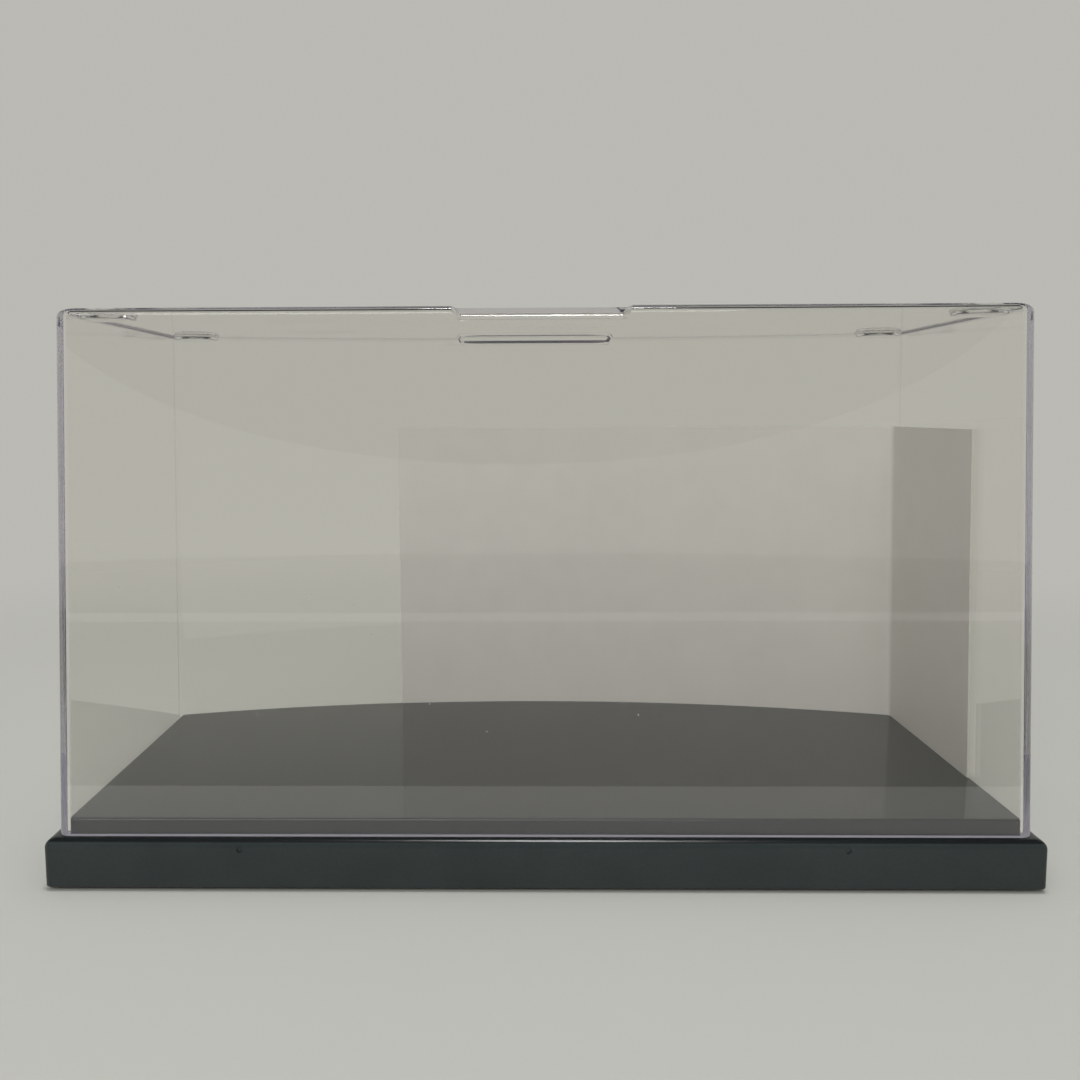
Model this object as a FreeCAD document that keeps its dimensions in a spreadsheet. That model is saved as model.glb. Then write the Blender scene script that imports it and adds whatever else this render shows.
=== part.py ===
"""Clear display case: a drafted, lift-off cover on a dark base with a bowed rear, feet and an insert card.

Millimetres, +X to the right, the flat front towards -Y, the bowed rear towards +Y,
+Z up from the feet's undersides.
"""
import FreeCAD, Part
import Sketcher
import math
import os

SIZES = {
    # Plan of the base, which every other outline is inset from
    "base_width": 210.0,
    "base_depth": 103.0,
    "rear_radius": 350.0,
    # Base moulding
    "rim_height": 10.4,
    "rim_corner_radius": 1.2,
    "rim_top_radius": 2.0,
    "rim_foot_radius": 0.4,
    "ledge": 2.1,
    "platform_height": 3.4,
    "platform_corner_radius": 0.8,
    "platform_edge_radius": 0.5,
    "base_wall": 2.2,
    "base_roof": 2.2,
    "rib_height": 3.0,
    "rib_thickness": 1.6,
    "mark_spacing": 127.0,
    "mark_height": 8.4,
    "mark_diameter": 1.4,
    "mark_depth": 0.35,
    # Cover moulding
    "fit_gap": 0.3,
    "cover_height": 110.5,
    "cover_wall": 1.8,
    "cover_roof": 1.0,
    "cover_edge_radius": 2.0,
    "cavity_edge_radius": 0.8,
    "draft_angle": 1.6,
    # Stacking dimples in the roof, above the feet
    "dimple_diameter": 10.4,
    "dimple_depth": 1.0,
    "dimple_slope": 0.7,
    "dimple_clearance": 0.6,
    # Notches in the middle of the roof's front and rear edges
    "front_notch_width": 36.0,
    "rear_notch_width": 43.0,
    "notch_reach": 6.5,
    "notch_depth": 1.6,
    "notch_slope": 1.6,
    # Feet
    "foot_diameter": 7.6,
    "foot_proud": 0.8,
    "foot_seat": 1.2,
    "foot_edge_radius": 0.3,
    "foot_clearance": 0.1,
    "boss_wall": 2.0,
    # Insert card
    "card_thickness": 0.4,
    "card_height": 81.2,
    "card_rear_width": 139.5,
    "card_side_depth": 53.0,
    "card_fold_radius": 1.2,
    "card_clearance": 0.6,
    # How far a cutting solid runs past the face that it opens
    "overrun": 1.0,
}

# Ribs under the platform: across the width at these shares of the half width, and one along it
CROSS_RIB_SHARES = (-0.5, 0.0, 0.5)
LONG_RIB_SHARE = -0.1

# How near to a level an edge counts as lying in it, as a share of its block's height
LEVEL_SHARE = 0.001

SIDES = {"left": -1, "right": 1}

# A sketch's numbers for an edge's points, and for its own axes and origin
START, END, CENTRE = range(1, 4)
X_AXIS, Y_AXIS = range(-1, -3, -1)
ORIGIN = (X_AXIS, START)

doc = FreeCAD.newDocument("DisplayCase")
sheet = doc.addObject("Spreadsheet::Sheet", "sizes")


class Term:
    """A size or a sum of sizes: the expression that a property is bound to, and its value now."""

    def __init__(self, text, number):
        self.text = text
        self.number = number

    @staticmethod
    def of(other):
        return other if isinstance(other, Term) else Term(repr(other), other)

    def join(self, sign, other, number):
        return Term(f"({self.text} {sign} {Term.of(other).text})", number)

    def __add__(self, other):
        return self.join("+", other, self.number + Term.of(other).number)

    def __sub__(self, other):
        return self.join("-", other, self.number - Term.of(other).number)

    def __mul__(self, other):
        return self.join("*", other, self.number * Term.of(other).number)

    def __truediv__(self, other):
        return self.join("/", other, self.number / Term.of(other).number)

    def __neg__(self):
        return Term(f"(-{self.text})", -self.number)

    def root(self):
        return Term(f"sqrt({self.text})", math.sqrt(self.number))

    def tan(self):
        return Term(f"tan({self.text})", math.tan(math.radians(self.number)))


class Sizes:
    """The sheet's cells as terms, one attribute for each alias."""

    def __init__(self):
        for row, (alias, value) in enumerate(SIZES.items(), start=1):
            sheet.set(f"A{row}", alias.replace("_", " "))
            sheet.set(f"B{row}", str(value))
            sheet.setAlias(f"B{row}", alias)
            setattr(self, alias, Term(f"sizes.{alias}", value))


size = Sizes()
doc.recompute()

# Heights of the seats, from the feet's undersides
rim_top = size.foot_proud + size.rim_height
platform_top = rim_top + size.platform_height
cover_top = rim_top + size.cover_height

# Insets from the base's outline, and the cover's corner radii, which share the platform's corner centres
cover_inset = size.ledge
cavity_inset = cover_inset + size.cover_wall
platform_inset = cavity_inset + size.fit_gap
cavity_corner = size.platform_corner_radius + size.fit_gap
cover_corner = cavity_corner + size.cover_wall
card_inset = cavity_inset + size.platform_height * size.draft_angle.tan() + size.card_clearance

# Places of the dimples, clear of the walls that lean in beside them, and of the feet below them
cover_lean = size.cover_height * size.draft_angle.tan()
foot_inset = cavity_inset + cover_lean + size.dimple_clearance + size.cover_roof + size.dimple_diameter / 2
foot_x = size.base_width / 2 - foot_inset
rear_centre = size.rear_radius - size.base_depth / 2
foot_rear_y = (size.rear_radius * size.rear_radius - foot_x * foot_x).root() - rear_centre - foot_inset
foot_front_y = foot_inset - size.base_depth / 2
FOOT_ROWS = {"front": foot_front_y, "rear": foot_rear_y}


def bind(thing, **terms):
    """Bind properties to terms; a double underscore stands for the dot in a property's path."""
    for path, term in terms.items():
        thing.setExpression(path.replace("__", "."), Term.of(term).text)


def add(kind, name, **terms):
    thing = doc.addObject(kind, name)
    bind(thing, **terms)
    return thing


def place(thing, x=None, y=None, z=None):
    for axis, term in (("x", x), ("y", y), ("z", z)):
        if term is not None:
            bind(thing, **{f"Placement__Base__{axis}": term})


def fuse(name, pieces):
    joined = doc.addObject("Part::MultiFuse", name)
    joined.Shapes = pieces
    return joined


def cut(name, base, tool):
    rest = doc.addObject("Part::Cut", name)
    rest.Base = base
    rest.Tool = tool
    return rest


def origin_plane(body, role):
    return next(part for part in body.Origin.OriginFeatures if part.Role == role)


def heights(shape):
    return [vertex.Z for vertex in shape.Vertexes]


def climb(shape):
    return max(heights(shape)) - min(heights(shape))


def upright_edges(shape):
    """Names of the edges that climb a block from bottom to top."""
    return [f"Edge{i}" for i, edge in enumerate(shape.Edges, start=1) if climb(edge) > climb(shape) / 2]


def side_faces(shape):
    """Names of the faces that climb a block from bottom to top."""
    return [f"Face{i}" for i, face in enumerate(shape.Faces, start=1) if climb(face) > climb(shape) / 2]


def level_names(kind, pieces, shape, level):
    """Names of a block's edges or faces that lie at one level."""
    near = climb(shape) * LEVEL_SHARE
    return [f"{kind}{i}" for i, piece in enumerate(pieces, start=1)
            if all(abs(height - level) < near for height in heights(piece))]


def top_edges(shape):
    return level_names("Edge", shape.Edges, shape, max(heights(shape)))


def foot_edges(shape):
    return level_names("Edge", shape.Edges, shape, min(heights(shape)))


def foot_faces(shape):
    return level_names("Face", shape.Faces, shape, min(heights(shape)))


def round_edges(body, name, edges, radius):
    base = body.Tip
    fillet = body.newObject("PartDesign::Fillet", name)
    fillet.Base = (base, edges(base.Shape))
    bind(fillet, Radius=radius)
    doc.recompute()
    return fillet


def plan_sketch(body, name, level):
    """An empty sketch in plan, at a level."""
    sketch = body.newObject("Sketcher::SketchObject", name)
    sketch.AttachmentSupport = (origin_plane(body, "XY_Plane"), [""])
    sketch.MapMode = "FlatFace"
    bind(sketch, AttachmentOffset__Base__z=level)
    return sketch


def measure(sketch, label, reference, term):
    """A named dimension of a sketch, bound to a term."""
    index = sketch.addConstraint(Sketcher.Constraint(*reference, term.number))
    sketch.renameConstraint(index, label)
    bind(sketch, **{f"Constraints__{label}": term})


def pad_up(body, name, sketch, height):
    pad = body.newObject("PartDesign::Pad", name)
    pad.Profile = sketch
    bind(pad, Length=height)
    doc.recompute()
    return pad


def outline_sketch(body, name, inset, level):
    """The plan outline at an inset: a straight front, two straight sides and the bowed rear."""
    half = size.base_width / 2 - inset
    front = size.base_depth / 2 - inset
    radius = size.rear_radius - inset
    corner_y = math.sqrt(radius.number ** 2 - half.number ** 2) - rear_centre.number
    turn = math.asin(half.number / radius.number)
    front_left = FreeCAD.Vector(-half.number, -front.number, 0)
    front_right = FreeCAD.Vector(half.number, -front.number, 0)
    rear_right = FreeCAD.Vector(half.number, corner_y, 0)
    rear_left = FreeCAD.Vector(-half.number, corner_y, 0)
    circle = Part.Circle(FreeCAD.Vector(0, -rear_centre.number, 0), FreeCAD.Vector(0, 0, 1), radius.number)

    sketch = plan_sketch(body, name, level)
    sketch.addGeometry(Part.LineSegment(front_left, front_right))
    sketch.addGeometry(Part.LineSegment(front_right, rear_right))
    sketch.addGeometry(Part.ArcOfCircle(circle, math.pi / 2 - turn, math.pi / 2 + turn))
    sketch.addGeometry(Part.LineSegment(rear_left, front_left))
    loop = (front_line, right_line, rear_arc, left_line) = range(4)
    for one, following in zip(loop, (*loop[1:], loop[0])):
        sketch.addConstraint(Sketcher.Constraint("Coincident", one, END, following, START))
    sketch.addConstraint(Sketcher.Constraint("Horizontal", front_line))
    sketch.addConstraint(Sketcher.Constraint("Vertical", right_line))
    sketch.addConstraint(Sketcher.Constraint("Vertical", left_line))
    sketch.addConstraint(Sketcher.Constraint("PointOnObject", rear_arc, CENTRE, Y_AXIS))
    measure(sketch, "right_side", ("DistanceX", *ORIGIN, right_line, START), half)
    measure(sketch, "left_side", ("DistanceX", left_line, START, *ORIGIN), half)
    measure(sketch, "front_side", ("DistanceY", front_line, START, *ORIGIN), front)
    measure(sketch, "bow_centre", ("DistanceY", rear_arc, CENTRE, *ORIGIN), rear_centre)
    measure(sketch, "bow_radius", ("Radius", rear_arc), radius)
    return sketch


def outline_block(name, inset, level, height, corner, drafted=False):
    """A solid on the plan outline with rounded upright corners, drawn in with height where it is drafted."""
    body = doc.addObject("PartDesign::Body", name)
    pad = pad_up(body, f"{name}_pad", outline_sketch(body, f"{name}_outline", inset, level), height)
    if drafted:
        draft = body.newObject("PartDesign::Draft", f"{name}_draft")
        draft.Base = (pad, side_faces(pad.Shape))
        draft.NeutralPlane = (pad, foot_faces(pad.Shape))
        bind(draft, Angle=size.draft_angle)
        doc.recompute()
    round_edges(body, f"{name}_corners", upright_edges, corner)
    return body


def disc(name, x, y, level, diameter, height):
    piece = add("Part::Cylinder", name, Radius=diameter / 2, Height=height)
    place(piece, x, y, level)
    return piece


def corner_discs(name, level, diameter, height):
    """One disc over each foot."""
    return [disc(f"{name}_{row}_{side}", foot_x * sign, y, level, diameter, height)
            for row, y in FOOT_ROWS.items() for side, sign in SIDES.items()]


def make_base():
    rim = outline_block("rim", Term.of(0), size.foot_proud, size.rim_height, size.rim_corner_radius)
    round_edges(rim, "rim_top_round", top_edges, size.rim_top_radius)
    round_edges(rim, "rim_foot_round", foot_edges, size.rim_foot_radius)
    platform = outline_block("platform", platform_inset, rim_top - size.overrun,
                             size.platform_height + size.overrun, size.platform_corner_radius)
    round_edges(platform, "platform_round", top_edges, size.platform_edge_radius)

    # Two stepped hollows leave one wall thickness under the rim and under the platform
    low_height = size.rim_height - size.base_roof + size.overrun
    low = outline_block("rim_hollow", size.base_wall, size.foot_proud - size.overrun, low_height,
                        size.platform_corner_radius)
    ceiling = platform_top - size.base_roof
    high_inset = platform_inset + size.base_wall
    high = outline_block("platform_hollow", high_inset, size.foot_proud, ceiling - size.foot_proud,
                         size.platform_corner_radius)

    # Shallow ribs under the platform and a boss for each foot stay out of the hollows
    kept = corner_discs("boss", size.foot_proud, size.foot_diameter + size.boss_wall * 2,
                        ceiling - size.foot_proud + size.overrun)
    rib_foot = ceiling - size.rib_height
    for number, share in enumerate(CROSS_RIB_SHARES, start=1):
        rib = add("Part::Box", f"cross_rib_{number}", Length=size.rib_thickness, Width=size.base_depth,
                  Height=size.rib_height + size.overrun)
        place(rib, size.base_width / 2 * share - size.rib_thickness / 2, -size.base_depth / 2, rib_foot)
        kept.append(rib)
    rib = add("Part::Box", "long_rib", Length=size.base_width, Width=size.rib_thickness,
              Height=size.rib_height + size.overrun)
    place(rib, -size.base_width / 2, size.base_depth * LONG_RIB_SHARE - size.rib_thickness / 2, rib_foot)
    kept.append(rib)
    hollow = cut("base_hollow", fuse("hollows", [low, high]), fuse("bosses_and_ribs", kept))

    # Sockets for the feet, and the two moulding marks on the front of the rim
    sockets = corner_discs("socket", size.foot_proud - size.overrun,
                           size.foot_diameter + size.foot_clearance * 2, size.foot_seat + size.overrun)
    marks = []
    for side, sign in SIDES.items():
        mark = add("Part::Cylinder", f"mark_{side}", Radius=size.mark_diameter / 2,
                   Height=size.mark_depth + size.overrun)
        mark.Placement.Rotation = FreeCAD.Rotation(FreeCAD.Vector(1, 0, 0), -90)
        place(mark, size.mark_spacing / 2 * sign, -size.base_depth / 2 - size.overrun,
              size.foot_proud + size.mark_height)
        marks.append(mark)
    block = fuse("rim_and_platform", [rim, platform])
    return cut("base", block, fuse("base_cuts", [hollow, *sockets, *marks]))


def make_foot(row, side):
    """A round pad, seated in its socket's roof and proud of the base's bottom edge."""
    name = f"foot_{row}_{side}"
    body = doc.addObject("PartDesign::Body", name)
    radius = size.foot_diameter / 2
    sketch = plan_sketch(body, f"{name}_outline", Term.of(0))
    circle = sketch.addGeometry(Part.Circle(FreeCAD.Vector(0, 0, 0), FreeCAD.Vector(0, 0, 1), radius.number))
    sketch.addConstraint(Sketcher.Constraint("Coincident", circle, CENTRE, *ORIGIN))
    measure(sketch, "pad_radius", ("Radius", circle), radius)
    pad_up(body, f"{name}_pad", sketch, size.foot_proud + size.foot_seat)
    round_edges(body, f"{name}_round", foot_edges, size.foot_edge_radius)
    place(body, foot_x * SIDES[side], FOOT_ROWS[row])
    return body


def notch_solid(name, width, foot, height, slope, near, reach):
    """A block with ends that slope outwards as they rise, from y = near to near + reach."""
    half = width / 2
    block = add("Part::Wedge", name, Xmin=-half, Xmax=half, X2min=-half - slope, X2max=half + slope,
                Ymin=Term.of(0), Ymax=height, Zmin=Term.of(0), Zmax=reach, Z2min=Term.of(0), Z2max=reach)
    block.Placement.Rotation = FreeCAD.Rotation(FreeCAD.Vector(1, 0, 0), 90)
    place(block, y=near + reach, z=foot)
    return block


def dimple_solid(name, x, y, diameter, foot, height, slope):
    cone = add("Part::Cone", name, Radius1=diameter / 2 - slope, Radius2=diameter / 2, Height=height)
    place(cone, x, y, foot)
    return cone


def make_cover():
    outer = outline_block("cover_skin", cover_inset, rim_top, size.cover_height, cover_corner, drafted=True)
    round_edges(outer, "cover_top_round", top_edges, size.cover_edge_radius)
    cavity_height = size.cover_height - size.cover_roof
    inner = outline_block("cover_cavity", cavity_inset, rim_top, cavity_height, cavity_corner, drafted=True)
    round_edges(inner, "cavity_top_round", top_edges, size.cavity_edge_radius)

    # The roof keeps its thickness round each dimple and notch, so they hang into the cavity
    roof_front = cover_inset + cover_lean - size.base_depth / 2
    walls = []
    cuts = []
    dimple_foot = cover_top - size.dimple_depth
    for row, y in FOOT_ROWS.items():
        for side, sign in SIDES.items():
            x = foot_x * sign
            walls.append(dimple_solid(f"dimple_wall_{row}_{side}", x, y,
                                      size.dimple_diameter + size.cover_roof * 2,
                                      dimple_foot - size.cover_roof, size.dimple_depth + size.cover_roof,
                                      size.dimple_slope))
            cuts.append(dimple_solid(f"dimple_{row}_{side}", x, y, size.dimple_diameter, dimple_foot,
                                     size.dimple_depth, size.dimple_slope))
    notch_foot = cover_top - size.notch_depth
    outside = size.ledge + size.overrun
    for row, width, near in (("front", size.front_notch_width, roof_front - outside),
                             ("rear", size.rear_notch_width, -roof_front - size.notch_reach)):
        reach = size.notch_reach + outside
        wall_near = near if row == "front" else near - size.cover_roof
        walls.append(notch_solid(f"notch_wall_{row}", width - size.notch_slope * 2 + size.cover_roof * 2,
                                 notch_foot - size.cover_roof, size.notch_depth + size.cover_roof,
                                 size.notch_slope, wall_near, reach + size.cover_roof))
        cuts.append(notch_solid(f"notch_{row}", width - size.notch_slope * 2, notch_foot, size.notch_depth,
                                size.notch_slope, near, reach))
    cavity = cut("display_space", inner, fuse("roof_walls", walls))
    return cut("cover", cut("cover_shell", outer, cavity), fuse("roof_cuts", cuts))


def make_card():
    """A folded sheet from the platform up, which leans as the rear and the right wall do."""
    outer = outline_block("card_outside", card_inset, platform_top, size.card_height,
                          size.card_fold_radius + size.card_thickness, drafted=True)
    inner_inset = card_inset + size.card_thickness - size.overrun * size.draft_angle.tan()
    inner = outline_block("card_inside", inner_inset, platform_top - size.overrun,
                          size.card_height + size.overrun * 2, size.card_fold_radius, drafted=True)
    ring = cut("card_ring", outer, inner)
    right_face = size.base_width / 2 - card_inset
    fold_y = (size.rear_radius * size.rear_radius - right_face * right_face).root() - rear_centre - card_inset
    span = add("Part::Box", "card_span", Length=size.card_rear_width + size.overrun,
               Width=size.base_depth, Height=size.card_height)
    place(span, right_face - size.card_rear_width, fold_y - size.card_side_depth, platform_top)
    card = doc.addObject("Part::Common", "insert_card")
    card.Base = ring
    card.Tool = span
    return card


def check(things):
    for thing in doc.Objects:
        if "Invalid" in thing.State or "Error" in thing.State:
            raise RuntimeError(f"{thing.Label} failed: {thing.State}")
    for thing in things:
        if thing.Shape.isNull() or not thing.Shape.isValid() or len(thing.Shape.Solids) != 1:
            raise RuntimeError(f"{thing.Label} has no single valid solid")


nodes = [make_base(), make_cover()]
nodes += [make_foot(row, side) for row in FOOT_ROWS for side in SIDES]
nodes.append(make_card())
doc.recompute()
check(nodes)
os.makedirs("parts", exist_ok=True)
for node in nodes:
    node.Shape.exportStep(f"parts/{node.Label}.step")
    box = node.Shape.BoundBox
    print(f"{node.Label}: {node.Shape.Volume:.1f} mm3, z {box.ZMin:.2f} to {box.ZMax:.2f}")
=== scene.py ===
"""Looks of a clear display case with a bowed rear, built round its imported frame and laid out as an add-on."""

import math
from functools import cached_property

import bmesh
import bpy
from mathutils import Matrix, Vector


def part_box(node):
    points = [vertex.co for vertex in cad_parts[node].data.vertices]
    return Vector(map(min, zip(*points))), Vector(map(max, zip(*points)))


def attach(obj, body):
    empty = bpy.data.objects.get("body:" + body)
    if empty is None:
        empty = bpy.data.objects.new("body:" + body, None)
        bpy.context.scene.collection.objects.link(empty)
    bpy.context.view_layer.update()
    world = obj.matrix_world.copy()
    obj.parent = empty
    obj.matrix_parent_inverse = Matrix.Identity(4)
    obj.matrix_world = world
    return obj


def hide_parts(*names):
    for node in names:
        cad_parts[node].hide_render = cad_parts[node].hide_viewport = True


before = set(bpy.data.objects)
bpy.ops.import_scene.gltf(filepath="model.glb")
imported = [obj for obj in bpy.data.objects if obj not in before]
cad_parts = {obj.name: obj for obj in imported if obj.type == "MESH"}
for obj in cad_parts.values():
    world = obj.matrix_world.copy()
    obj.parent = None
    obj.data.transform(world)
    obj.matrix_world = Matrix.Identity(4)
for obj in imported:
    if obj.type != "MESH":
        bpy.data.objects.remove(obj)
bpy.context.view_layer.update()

bl_info = {
    "name": "Display Case",
    "version": (1, 0, 0),
    "blender": (4, 5, 0),
    "location": "3D View > Sidebar > Display Case",
    "description": "Builds a clear lift-off cover on a dark base, with its feet, insert card and studio",
    "category": "Object",
}

MM = 0.001
PI = math.pi
FLOAT = "FLOAT"
VECTOR = "FLOAT_VECTOR"

BASE_LOW, BASE_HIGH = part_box("base")
COVER_LOW, COVER_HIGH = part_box("cover")
CARD_LOW, CARD_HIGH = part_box("insert_card")
FRONT_FOOT_LOW, FRONT_FOOT_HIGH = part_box("foot_front_right")
REAR_FOOT_LOW, REAR_FOOT_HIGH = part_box("foot_rear_right")
FOOT_NODES = ("foot_front_left", "foot_front_right", "foot_rear_left", "foot_rear_right")

# How far a tool runs past the face that it opens, and how far the profiles are drawn in from their outlines
OVERRUN = 1 * MM
BASE_REACH = 9 * MM
COVER_REACH = 8 * MM

# Points round an outline's corner and along its bow, and steps round what is turned
CORNER_POINTS = 14
BOW_POINTS = 128
SEGMENTS = 64
BASE_SEGMENTS = 48

# Ribs under the platform: across it at these shares of the half width, and one along it
CROSS_RIB_SHARES = (-0.5, 0.0, 0.5)
LONG_RIB_SHARE = -0.1

# Edges that turn by more than this many degrees stay sharp
MOULDED_SHARP = 32
CARD_SHARP = 40

# Tones of dust, of scuffs and of a rubbed fold
DUST = (0.5, 0.5, 0.49)
SCUFF = (0.12, 0.12, 0.118)
RUBBED_FOLD = (0.82, 0.8, 0.77)


# Sizes, finishes and studio values that a user would change

def amount(name, description, default, **kind):
    return bpy.props.FloatProperty(name=name, description=description, default=default, **kind)


def amounts(name, description, default, **kind):
    return bpy.props.FloatVectorProperty(name=name, description=description, default=default,
                                         size=len(default), **kind)


def length(name, description, default):
    return amount(name, description, default, unit="LENGTH", precision=5)


def angle(name, description, default):
    return amount(name, description, default, subtype="ANGLE")


def power(name, description, default):
    return amount(name, description, default, unit="POWER")


def colour(name, description, default):
    return amounts(name, description, default, subtype="COLOR", min=0.0, max=1.0)


class CaseSizes(bpy.types.PropertyGroup):
    """Sizes of the mouldings, the feet and the card."""

    base_width: length("Base width", "Width of the rim", BASE_HIGH.x - BASE_LOW.x)
    base_depth: length("Base depth", "Depth from the flat front to the middle of the bow", -2 * BASE_LOW.y)
    rear_radius: length("Bow radius", "Radius of the rim's bowed rear", 350 * MM)
    rim_foot: length("Rim foot", "Height of the rim's bottom edge above the table", BASE_LOW.z)
    rim_top: length("Rim top", "Height of the ledge that carries the cover", COVER_LOW.z)
    rim_top_radius: length("Rim top round", "Radius of the rim's upper edge", 2.0 * MM)
    rim_foot_radius: length("Rim foot round", "Radius of the rim's lower edge", 0.4 * MM)
    rim_corner: length("Rim corner", "Radius of the rim's corners in plan", 1.2 * MM)
    ledge: length("Ledge", "Inset of the cover from the rim", 2.1 * MM)
    platform_top: length("Platform top", "Height of the platform", BASE_HIGH.z)
    platform_inset: length("Platform inset", "Inset of the platform from the rim", 4.2 * MM)
    platform_corner: length("Platform corner", "Radius of the platform's corners in plan", 0.8 * MM)
    platform_round: length("Platform round", "Radius of the platform's upper edge", 0.5 * MM)
    base_wall: length("Base wall", "Thickness of the rim's wall and of the platform", 2.2 * MM)
    rib_height: length("Rib height", "Height of the ribs under the platform", 3.0 * MM)
    rib_thickness: length("Rib thickness", "Thickness of the ribs under the platform", 1.6 * MM)
    mark_spacing: length("Mark spacing", "Distance between the two moulding marks", 127 * MM)
    mark_height: length("Mark height", "Height of the moulding marks above the table", 9.2 * MM)
    mark_radius: length("Mark radius", "Radius of the moulding marks", 0.7 * MM)
    mark_depth: length("Mark depth", "Depth of the moulding marks", 0.35 * MM)
    cover_top: length("Cover top", "Height of the roof", COVER_HIGH.z)
    cover_wall: length("Cover wall", "Thickness of the cover's walls", 1.8 * MM)
    cover_roof: length("Cover roof", "Thickness of the roof", 1.0 * MM)
    cover_round: length("Cover round", "Radius of the roof's edge", 2.0 * MM)
    cover_corner: length("Cover corner", "Radius of the cover's upright corners", 2.9 * MM)
    cavity_round: length("Cavity round", "Radius of the roof's edge inside", 0.8 * MM)
    draft: angle("Draft", "Lean of the cover's walls", math.radians(1.6))
    dimple_radius: length("Dimple radius", "Radius of the stacking dimples", 5.2 * MM)
    dimple_depth: length("Dimple depth", "Depth of the stacking dimples", 1.0 * MM)
    dimple_slope: length("Dimple slope", "Width of a dimple's sloping side", 0.7 * MM)
    front_notch: length("Front notch", "Width of the notch in the roof's front edge", 36 * MM)
    rear_notch: length("Rear notch", "Width of the notch in the roof's rear edge", 43 * MM)
    notch_reach: length("Notch reach", "Depth of a notch from the roof's edge", 6.5 * MM)
    notch_depth: length("Notch depth", "Drop of a notch's floor", 1.6 * MM)
    notch_round: length("Notch round", "Radius of a notch's floor over the wall", 1.5 * MM)
    moulded_round: length("Moulded round", "Radius of the small moulded edges", 0.3 * MM)
    foot_radius: length("Foot radius", "Radius of a foot", (FRONT_FOOT_HIGH.x - FRONT_FOOT_LOW.x) / 2)
    foot_top: length("Foot top", "Height of a foot's seat", FRONT_FOOT_HIGH.z)
    foot_x: length("Foot across", "Distance of the feet from the middle",
                   (FRONT_FOOT_LOW.x + FRONT_FOOT_HIGH.x) / 2)
    foot_front: length("Foot front", "Place of the front feet", (FRONT_FOOT_LOW.y + FRONT_FOOT_HIGH.y) / 2)
    foot_rear: length("Foot rear", "Place of the rear feet", (REAR_FOOT_LOW.y + REAR_FOOT_HIGH.y) / 2)
    card_thickness: length("Card thickness", "Thickness of the card", 0.4 * MM)
    card_fold: length("Card fold", "Radius at the middle of the card's fold", 1.4 * MM)
    card_wave: length("Card wave", "Height of the card's slow waves", 0.3 * MM)


class CaseFinishes(bpy.types.PropertyGroup):
    """Colours of the plastics, the rubber and the card."""

    slate: colour("Slate", "The rim's satin plastic", (0.030, 0.0375, 0.0385))
    platform: colour("Platform", "The platform's glossy plastic", (0.0125, 0.0145, 0.0152))
    # The warm grey of the clear tint is painted shade: it darkens all that shows through the cover, as a
    # shadowed backdrop behind it would
    clear: colour("Clear", "Light that a face of the cover lets through", (0.955, 0.95, 0.925))
    clear_foot: colour("Clear foot", "The matt foot of the cover's walls", (0.29, 0.28, 0.325))
    clear_edge: colour("Clear edge", "Tint of light that runs along inside the walls", (0.42, 0.36, 0.56))
    rubber: colour("Rubber", "The feet", (0.022, 0.022, 0.023))
    card: colour("Card", "The card's uncoated inside", (0.64, 0.612, 0.555))
    card_white: colour("Card outside", "The card's smooth outside", (0.76, 0.735, 0.69))


class StudioValues(bpy.types.PropertyGroup):
    """Floor, lamps and camera."""

    sweep: colour("Sweep", "The floor", (0.52, 0.522, 0.492))
    backdrop: colour("Backdrop", "The sweep behind the case", (0.494, 0.489, 0.457))
    room: colour("Room", "The dim room that gloss shows", (0.10, 0.10, 0.10))
    sky: amount("Sky", "Strength of the even light", 0.48)
    lamp_power: power("Lamp power", "Power of the overhead lamp", 9.0)
    fill_power: power("Fill power", "Power of the soft lamp in front", 10.5)
    lens: amount("Lens", "Focal length on a 36 mm sensor", 36.0)
    shift: amounts("Shift", "Shift of the picture's middle", (0.0384, -0.0080))
    eye: amounts("Eye", "Place of the camera", (-5.38 * MM, -268.37 * MM, 99.93 * MM), unit="LENGTH")
    pitch: angle("Pitch", "Downward tilt", 0.1091)
    yaw: angle("Yaw", "Turn to the right", -0.0162)
    roll: angle("Roll", "Roll of the camera", -0.0043)


class CaseSettings(bpy.types.PropertyGroup):
    """All values of the case and its studio."""

    sizes: bpy.props.PointerProperty(type=CaseSizes)
    finishes: bpy.props.PointerProperty(type=CaseFinishes)
    studio: bpy.props.PointerProperty(type=StudioValues)


# Node trees written as Python

class Wire:
    """An output socket that takes part in sums; each sum adds its node."""

    def __init__(self, graph, socket):
        self.graph = graph
        self.socket = socket

    def __add__(self, other):
        return self.graph.sum("ADD", self, other)

    def __radd__(self, other):
        return self.graph.sum("ADD", other, self)

    def __sub__(self, other):
        return self.graph.sum("SUBTRACT", self, other)

    def __rsub__(self, other):
        return self.graph.sum("SUBTRACT", other, self)

    def __mul__(self, other):
        return self.graph.sum("MULTIPLY", self, other)

    def __rmul__(self, other):
        return self.graph.sum("MULTIPLY", other, self)

    def __truediv__(self, other):
        return self.graph.sum("DIVIDE", self, other)

    def __rtruediv__(self, other):
        return self.graph.sum("DIVIDE", other, self)

    def __neg__(self):
        return self.graph.sum("MULTIPLY", self, -1.0)

    def least(self, other):
        return self.graph.sum("MINIMUM", self, other)

    def most(self, other):
        return self.graph.sum("MAXIMUM", self, other)

    def call(self, operation, *others):
        return self.graph.sum(operation, self, *others)


def shade(tone):
    """A plain colour with its alpha; a wire stays as it is."""
    return tone if isinstance(tone, Wire) else (*tone, 1.0)


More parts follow.
